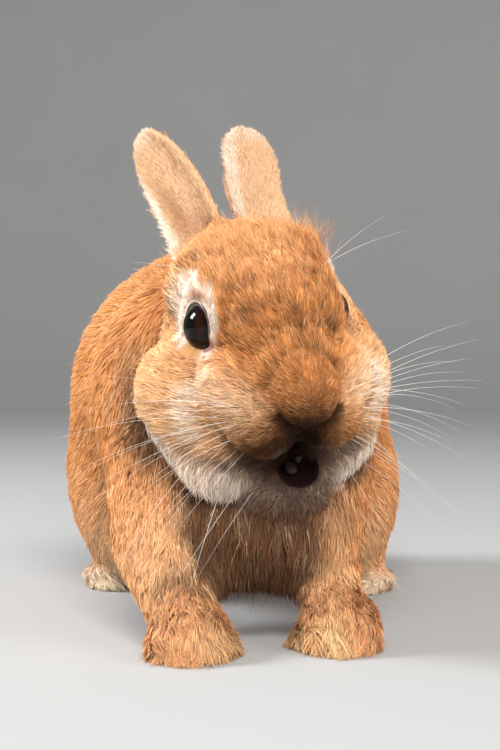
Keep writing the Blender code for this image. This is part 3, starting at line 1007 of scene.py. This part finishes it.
def grow_coat(item, weights, lie, rng):
    """All the tufts, as blades that rise from the skin and lie back along it."""
    points = coordinates(item.data)
    share = coat_share(points, weights)
    density = by_region(weights, DENSITY) * np.clip(1 / share ** 0.7, 0.8, 2.2)
    density *= 1 - bare_places(points)
    density *= ramp(0, 0.8 * MM, points[:, 2])
    roots = Roots(item, weights, lie, density, rng)
    roots.keep(bare_places(roots.place) < 0.5)
    place, normal = roots.place, roots.normal
    count = len(place)
    share = coat_share(place, roots.weights)
    head = to_head(place)
    length = by_region(roots.weights, LENGTH) * share * rng.uniform(0.65, 1.25, count) * MM
    length *= length_share(roots, head)
    crest = roots.part("head", "neck") * ramp(6, 16, head[:, 2])
    crest *= ramp(6, -9, head[:, 1]) * (0.5 + 0.9 * ramp(2, 14, head[:, 0]))
    guard = rng.random(count) < 0.01 + 0.045 * crest
    length = np.where(guard, length * rng.uniform(1.4, 2.1, count), length)
    width = by_region(roots.weights, WIDTH) * np.clip(share, 0.6, 1.1) * MM
    width *= rng.uniform(0.7, 1.3, count)
    waves = ripple(place, 6.5 * MM, 11) + ripple(place, 2.6 * MM, 12)
    rise = by_region(roots.weights, DEPTH) * share * MM
    face = roots.part("head", "jaw")
    paw = roots.part("forepaw", "hindfoot")
    waves *= 0.12 + 0.14 * face + 0.22 * paw
    rise *= np.clip(0.9 + waves + rng.normal(0, 0.16, count), 0.2, 1.5)
    rise = np.where(guard, rise * (1.3 + 1.6 * crest), rise)
    crown = blob(head, (23, -2, 18), (10, 12, 10)) * roots.part("head", "neck")
    rise *= 1 + 3 * crown
    length *= 1 + 0.9 * crown
    bend = 0.18 * ripple(place, 9 * MM, 13)
    bend += (0.14 + 0.14 * face + 0.3 * paw) * ripple(place, 3.4 * MM, 14)
    bend += rng.normal(0, 0.15, count)
    way = turned(roots.lie, normal, bend)
    run = np.sqrt(np.maximum(length ** 2 - rise ** 2, (0.3 * length) ** 2))
    tip_way = turned(way, normal, rng.normal(0, 0.1, count))
    width = np.where(guard, width * 0.5, width)
    start = place - normal * 0.25 * MM
    middle = place + way * (run * 0.45)[:, None] + normal * (rise * 0.7)[:, None]
    end = middle + tip_way * (run * 0.55)[:, None] + normal * (rise * 0.3)[:, None]
    clump = rng.random(count) < 0.085 - 0.03 * roots.part("trunk", "thigh", "neck")
    clump &= ~guard
    heads = np.flatnonzero(clump)
    lock = heads[nearest(place, place[heads])]
    ear = roots.part("ear")
    pull = (np.where(guard, 0, 0.3) * (1 - 0.75 * ear))[:, None]
    end = end + (end[lock] + (place - place[lock]) * 0.35 - end) * pull
    middle = middle + (end[lock] - end) * pull * 0.12
    shade = np.exp(rng.normal(0, 1, count))[lock] ** (0.06 + 0.11 * face - 0.03 * ear)
    across = turned(np.cross(normal, way), way, rng.uniform(-0.9, 0.9, count))
    half = across * (width / 2)[:, None]
    corners = (start - half, start + half, middle - half * 0.8, middle + half * 0.8, end)
    blades = np.stack(corners, axis=1)
    blades[:, :, 2] = np.maximum(blades[:, :, 2], 0.15 * MM)
    low, mid, tip = (tint * shade[:, None] for tint in tuft_colours(roots, rng))
    colours = np.stack((low, low, mid, mid, tip), axis=1)
    patch = np.array(((-0.5, -0.5), (0.5, -0.5), (-0.4, 0.1), (0.4, 0.1), (0, 0.5))) * BAKE_PATCH
    maps = np.clip(roots.map, BAKE_PATCH, 1 - BAKE_PATCH)[:, None, :] + patch
    return roots, blades, colours, maps


BLADE = np.array(((0, 1, 3), (0, 3, 2), (2, 3, 4)))


def coat_piece(name, blades, colours, maps):
    triangles = (BLADE + 5 * np.arange(len(blades))[:, None, None]).reshape(-1, 3)
    mesh = triangle_mesh(name, blades.reshape(-1, 3), triangles)
    paint(mesh, colours.reshape(-1, 3))
    layer = mesh.uv_layers.new(name="OFBake")
    layer.data.foreach_set("uv", maps.reshape(-1, 2)[triangles.ravel()].astype(np.float32).ravel())
    return show(name, mesh, FUR)


COAT_GROUPS = {
    "head": ("head", "jaw"),
    "ears": ("ear",),
    "body": ("neck", "trunk", "tail", "thigh"),
    "legs": ("foreleg", "forepaw", "hindfoot"),
}


def make_coat(skin, weights):
    rng = np.random.default_rng(SEED + 1)
    points = coordinates(skin.data)
    lie = coat_lie(points, normals_of(skin.data), weights, Links(skin.data))
    roots, blades, colours, maps = grow_coat(skin, weights, lie, rng)
    main = roots.weights.argmax(axis=1)
    pieces = []
    for group, regions in COAT_GROUPS.items():
        chosen = np.flatnonzero(np.isin(main, [REGIONS.index(region) for region in regions]))
        parts = max(1, math.ceil(len(chosen) / TUFTS_A_PIECE))
        for number, tufts in enumerate(np.array_split(chosen, parts), start=1):
            made = (blades[tufts], colours[tufts], maps[tufts])
            pieces.append(coat_piece(f"coat_{group}_{number}", *made))
    return pieces


# ---- Eyes and lids ----

def eye_point(side, angle, turn, distance):
    """World place from angle off the eye's outward axis, turn round it and distance, in mm."""
    angle, turn = np.radians(angle), np.radians(turn)
    away = np.stack(
        (side * np.cos(angle), np.sin(angle) * np.cos(turn), np.sin(angle) * np.sin(turn)), axis=-1
    )
    return from_head(eye_centre(side) + away * np.asarray(distance)[..., None])


def make_eye(name, side):
    """Globe with a bulging cornea, a black pupil and a dark brown iris."""
    bm = bmesh.new()
    bmesh.ops.create_uvsphere(bm, u_segments=96, v_segments=64, radius=1.0)
    bmesh.ops.rotate(bm, verts=bm.verts, matrix=Matrix.Rotation(math.pi / 2, 3, "Y"))
    mesh = from_bmesh(name, bm)
    _, angle, turn = eye_polar(eye_centre(side) + coordinates(mesh), side)
    bulge = 0.25 * ramp(62, 20, angle)
    set_coordinates(mesh, eye_point(side, angle, turn, EYE_RADIUS - 0.15 + bulge))
    fibres = 0.5 + 0.5 * np.sin(np.radians(turn) * 47 + 2 * np.sin(np.radians(turn) * 13))
    iris = ramp(36, 46, angle) * ramp(-150, -60, turn) * ramp(110, 40, turn)
    layers = [
        ((0.03, 0.009, 0.004), iris * (0.55 + 0.45 * fibres)),
        ((0.01, 0.005, 0.003), ramp(52, 60, angle)),
        ((0.3, 0.22, 0.2), ramp(68, 74, angle)),
    ]
    paint(mesh, layered(PUPIL, layers))
    return show(name, mesh, GLOBE)


def rings(centres, outs, ups, half_widths, half_heights, sides):
    """Points of elliptic sections round the centres."""
    turn = np.arange(sides) * 2 * math.pi / sides
    return (
        centres[:, None]
        + outs[:, None] * (np.cos(turn)[None, :, None] * half_widths[:, None, None])
        + ups[:, None] * (np.sin(turn)[None, :, None] * half_heights[:, None, None])
    ).reshape(-1, 3)


def ring_faces(count, sides, closed=False):
    """Triangles over rings of points: a closed loop, or a tube capped at its first ring."""
    rows = np.arange(count * sides).reshape(count, sides)
    rows = np.concatenate((rows, rows[:1])) if closed else rows
    a, b = rows, np.roll(rows, -1, axis=1)
    corners = ((a[:-1], b[:-1], b[1:]), (a[:-1], b[1:], a[1:]))
    faces = [np.stack(three, axis=-1).reshape(-1, 3) for three in corners]
    if not closed:
        faces.append([(0, number + 1, number) for number in range(1, sides - 1)])
    return np.concatenate(faces)


def make_lid(name, side):
    """The moist rim of the lids, dark behind and pink at the front corner."""
    turn = np.linspace(-180, 180, 144, endpoint=False)
    edge = lid_angle(turn)
    centres = eye_point(side, edge + 1, turn, LID_RADIUS - 0.18)
    outs = unit(eye_point(side, edge + 4, turn, LID_RADIUS) - centres)
    ups = unit(centres - from_head(eye_centre(side)))
    corner = canthus(turn)
    half_width = (0.5 + 0.55 * corner) * MM
    half_height = (0.42 + 0.1 * corner) * MM
    points = rings(centres, outs, ups, half_width, half_height, LID_SIDES)
    mesh = triangle_mesh(name, points, ring_faces(len(turn), LID_SIDES, closed=True))
    layers = [
        ((0.42, 0.28, 0.24), 0.75 * bell(turn, -50, 55)),
        ((0.5, 0.19, 0.15), 0.85 * corner),
    ]
    paint(mesh, np.repeat(layered(LID_RIM, layers), LID_SIDES, axis=0))
    return show(name, mesh, LID)


# ---- Whiskers ----

def hair_tube(root, way, droop, length, radius):
    """One long tapering hair that sags to its tip."""
    share = np.linspace(0, 1, HAIR_STEPS + 1)[:, None]
    line = root + way * (length * share) + droop * (length * share ** 2)
    along = unit(np.gradient(line, axis=0))
    side = unit(np.cross(along, (0.31, 0.17, 0.93)))
    thick = radius * (1 - 0.85 * share[:, 0])
    points = rings(line, side, np.cross(along, side), thick, thick, HAIR_SIDES)
    last = np.arange(HAIR_STEPS * HAIR_SIDES, len(points))
    tip = np.stack((last, np.roll(last, -1), np.full(HAIR_SIDES, len(points))), axis=-1)
    faces = np.concatenate((ring_faces(HAIR_STEPS + 1, HAIR_SIDES), tip))
    return np.concatenate((points, line[-1:] + along[-1:] * radius * 2)), faces


# Root in the head frame, way, and droop at the tip, for the left side.
WHISKER_ROWS = [
    ((22, 27, -14), (0.88, 0.1, 0.3), -0.16),
    ((23, 26, -18), (0.95, 0.1, 0.05), -0.2),
    ((23, 24, -23), (0.93, 0.05, -0.25), -0.22),
    ((20, 24, -28), (0.8, 0.02, -0.6), -0.16),
]


def whisker_list(rng):
    """Rows on both whisker pads, two over each eye, and a few under the cheeks."""
    hairs = []
    for side in (1, -1):
        for (x, y, z), way, droop in WHISKER_ROWS:
            for number in range(5 if side > 0 else 4):
                root = (side * (x + 1.2 * number - 5), y - 2.8 * number + 3, z + 0.5 * number)
                turn = way + rng.normal(0, 0.1, 3) + (0, -0.1 * number, 0)
                turn = unit(turn) * (side, 1, 1)
                thick = 0.085 if side > 0 else 0.055
                hairs.append((root, turn, droop, rng.uniform(32, 52), thick))
        for root, way in (((18, 4, 19), (0.55, 0.2, 0.75)), ((20, 0, 17), (0.75, 0.15, 0.5))):
            turn = unit(way) * (side, 1, 1)
            hairs.append(((side * root[0], root[1], root[2]), turn, -0.18, 31, 0.075))
        for number in range(5):
            root = (side * (26 - 4 * number), 10 + 3 * number, -40 - number)
            turn = unit((0.65, 0.15, -0.72) + rng.normal(0, 0.12, 3)) * (side, 1, 1)
            hairs.append((root, turn, -0.12, rng.uniform(28, 46), 0.065))
    return hairs


def make_whiskers(skin):
    points = coordinates(skin.data)
    hairs = whisker_list(np.random.default_rng(SEED + 2))
    starts = points[nearest([from_head(hair[0]) for hair in hairs], points)]
    low, high = (np.array(corner) for corner in cad_box)
    reach = WHISKER_REACH[0] * (high - low) + WHISKER_REACH[1]
    tubes, faces, used = [], [], 0
    for start, (_, way, droop, length, radius) in zip(starts, hairs):
        direction = head_vectors(way)
        sag = np.array((0, 0, droop))
        length *= MM
        for _ in range(20):
            tip = start + direction * length + sag * length
            if ((tip > low - reach) & (tip < high + reach)).all():
                break
            length *= 0.93
        tube, triangles = hair_tube(start, direction, sag, length, radius * MM)
        tubes.append(tube)
        faces.append(triangles + used)
        used += len(tube)
    mesh = triangle_mesh("whiskers", np.concatenate(tubes), np.concatenate(faces))
    return show("whiskers", mesh, WHISKER)


# ---- Small hard and moist pieces ----

def smooth_copy(node, name, surface, share):
    """A finer copy of a small CAD piece, to show in its place, shrunk towards its back."""
    bm = welded(node)
    low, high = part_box(node)
    back = Vector(((low.x + high.x) / 2, high.y, (low.z + high.z) / 2))
    for vert in bm.verts:
        vert.co = back + (vert.co - back) * share
    item = link(name, from_bmesh(name, bm))
    fine = item.modifiers.new("Fine", "SUBSURF")
    fine.levels = 2
    dress(evaluated(item), surface)
    return item


# ---- Materials ----

class Surface:
    """A Principled material with short ways to add noise, colour and bump."""

    def __init__(self, name, roughness, specular=0.5, **values):
        self.material = bpy.data.materials.new(name)
        self.material.use_nodes = True
        self.tree = self.material.node_tree
        self.shader = self.tree.nodes["Principled BSDF"]
        self.set(self.shader, Roughness=roughness, Specular_IOR_Level=specular, **values)

    def set(self, node, **values):
        """Give the node's sockets these values, or link them to these outputs."""
        for name, value in values.items():
            socket = node.inputs[name.replace("_", " ")]
            if isinstance(value, bpy.types.NodeSocket):
                self.tree.links.new(value, socket)
            else:
                socket.default_value = value
        return node

    def node(self, kind, **values):
        return self.set(self.tree.nodes.new("ShaderNode" + kind), **values)

    def noise(self, scale, stretch=(1, 1, 1)):
        place = self.node("TexCoord").outputs["Object"]
        place = self.node("Mapping", Scale=stretch, Vector=place).outputs["Vector"]
        return self.node("TexNoise", Scale=scale, Detail=3, Vector=place).outputs["Fac"]

    def painted(self, scale, low, high):
        """The mesh's own colours, made a little lighter and darker by noise."""
        attribute = self.node("VertexColor")
        attribute.layer_name = "coat_colour"
        shade = self.node("MapRange", To_Min=low, To_Max=high, Value=self.noise(scale))
        scaled = self.node("VectorMath")
        scaled.operation = "SCALE"
        self.set(scaled, Vector=attribute.outputs["Color"], Scale=shade.outputs["Result"])
        self.set(self.shader, Base_Color=scaled.outputs["Vector"])
        return self

    def mixed(self, low, high, *noise):
        """Between two colours, by noise."""
        blend = self.node("Mix")
        blend.data_type = "RGBA"
        self.set(blend, Factor=self.noise(*noise), A=(*low, 1), B=(*high, 1))
        self.set(self.shader, Base_Color=blend.outputs["Result"])
        return self

    def bump(self, strength, distance, *noise):
        height = self.noise(*noise)
        bump = self.node("Bump", Strength=strength, Distance=distance, Height=height)
        self.set(self.shader, Normal=bump.outputs["Normal"])
        return self


FUR = Surface("fur", 0.6, 0.06, Sheen_Weight=0.03, Sheen_Roughness=0.5).painted(900, 0.8, 1.2)
UNDERCOAT = Surface("undercoat", 0.85, 0.05).painted(1400, 0.65, 1.05).bump(0.6, 0.0004, 2600)
GLOBE = Surface("eye", 0.02, 0.36, IOR=1.33).painted(2500, 0.5, 0.75)
LID = Surface("lid", 0.28, Subsurface_Weight=0.1).painted(3000, 0.8, 1.2)
LID.bump(0.25, 0.0001, 4000)
CLAW = Surface("claw", 0.5, 0.2).bump(0.3, 0.0001, 3000, (1, 0.2, 1))
CLAW.mixed((0.18, 0.11, 0.065), (0.34, 0.24, 0.16), 700, (1, 0.3, 1))
# Tongue and teeth are nearly black: painted shade inside the mouth.
TONGUE_IN_SHADE = Surface("tongue", 0.5, 0.03).bump(0.5, 0.0002, 3500)
TONGUE_IN_SHADE.mixed((0.026, 0.015, 0.014), (0.044, 0.026, 0.024), 1500)
TOOTH_IN_SHADE = Surface("tooth", 0.55, 0.02).bump(0.2, 0.0001, 2500, (1, 1, 0.2))
TOOTH_IN_SHADE.mixed((0.018, 0.013, 0.01), (0.03, 0.022, 0.018), 900, (1, 1, 0.3))
WHISKER = Surface("whisker", 0.35).mixed((0.7, 0.66, 0.6), (0.88, 0.85, 0.8), 60)
FLOOR = Surface("floor", 0.85).mixed((0.36, 0.358, 0.355), (0.39, 0.388, 0.385), 6)


# ---- Stage ----

def make_floor():
    """A pale round floor that sweeps up far away on every side."""
    radius = np.array((0.25, 0.5, 0.8, 1.2, 1.6, 1.9, 2.15, 2.35, 2.45, 2.5))
    height = np.array((0, 0, 0, 0, 0, 0.05, 0.18, 0.42, 0.8, 1.8))
    centres = height[:, None] * (0, 0, 1)
    outs, ups = np.array([[(1, 0, 0)], [(0, -1, 0)]])
    points = rings(centres, outs, ups, radius, radius, FLOOR_SIDES)
    mesh = triangle_mesh("floor", points, ring_faces(len(radius), FLOOR_SIDES))
    floor = show("floor", mesh, FLOOR)


def add_light(name, way, distance, size, power, colour):
    """A square soft light that faces the head from the given way."""
    light = bpy.data.lights.new(name, "AREA")
    light.size, light.energy, light.color = size, power, colour
    item = link(name, light)
    away = Vector(way).normalized()
    item.location = HEAD_ORIGIN + away * distance
    item.rotation_euler = away.to_track_quat("Z", "Y").to_euler()


def make_stage():
    make_floor()
    add_light("key", (-0.84, 0.06, 0.56), 1.2, 0.36, 19, (0.95, 0.98, 1))
    add_light("front", (0.06, -0.85, 0.7), 1.9, 1, 56, (1, 0.98, 0.95))
    add_light("fill", (0.85, -0.45, 0.45), 1.8, 1, 16, (1, 0.98, 0.96))
    world = bpy.data.worlds.new("studio")
    world.use_nodes = True
    sky = world.node_tree.nodes["Background"].inputs
    sky["Color"].default_value = (0.8, 0.83, 0.88, 1)
    sky["Strength"].default_value = 0.3
    bpy.context.scene.world = world
    bpy.context.scene.view_settings.view_transform = "Standard"


def make_camera():
    camera = bpy.data.cameras.new("camera")
    camera.lens = LENS
    camera.sensor_width = SENSOR
    camera.clip_start = 0.01
    item = link("camera", camera)
    item.location = HEAD_ORIGIN + CAMERA_FROM_EYES
    item.rotation_euler = (math.radians(CAMERA_TILT), 0, 0)
    bpy.context.scene.camera = item


# ---- The rabbit ----

def settle(piece, slot, *nodes):
    """The piece rides on the body and stands for these CAD nodes; the slot is not used."""
    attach(piece, "root")
    if nodes:
        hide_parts(*nodes)


def main():
    make_camera()
    make_stage()
    skin = make_skin()
    unwrap(skin)
    points = coordinates(skin.data)
    links = Links(skin.data)
    weights = region_weights(points, links)
    colours = markings_and_shade(points, normals_of(skin.data), weights) * SKIN_SHADE
    # Painted shade lines the mouth's hollow.
    colours = mix(colours, MOUTH_SHADE, ramp(1.16, 1, mouth_depth(to_head(points))))
    paint(skin.data, colours)
    settle(skin, "coat", *FLESH)

    for piece in make_coat(skin, weights):
        settle(piece, "coat")
    settle(make_whiskers(skin), "coat")
    for side, sign in (("left", 1), ("right", -1)):
        settle(make_eye(f"globe_{side}", sign), "eye", f"eye_{side}")
        settle(make_lid(f"lid_{side}", sign), "tongue")
    settle(smooth_copy("tongue", "tongue_soft", TONGUE_IN_SHADE, TONGUE_SHARE), "tongue", "tongue")
    settle(smooth_copy("incisors", "front_teeth", TOOTH_IN_SHADE, TOOTH_SHARE), "tooth", "incisors")
    for node in sorted(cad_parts):
        if node.startswith("claw"):
            claw = smooth_copy(node, node.replace("claw", "horn"), CLAW, CLAW_SHARE)
            settle(claw, "claw", node)


main()
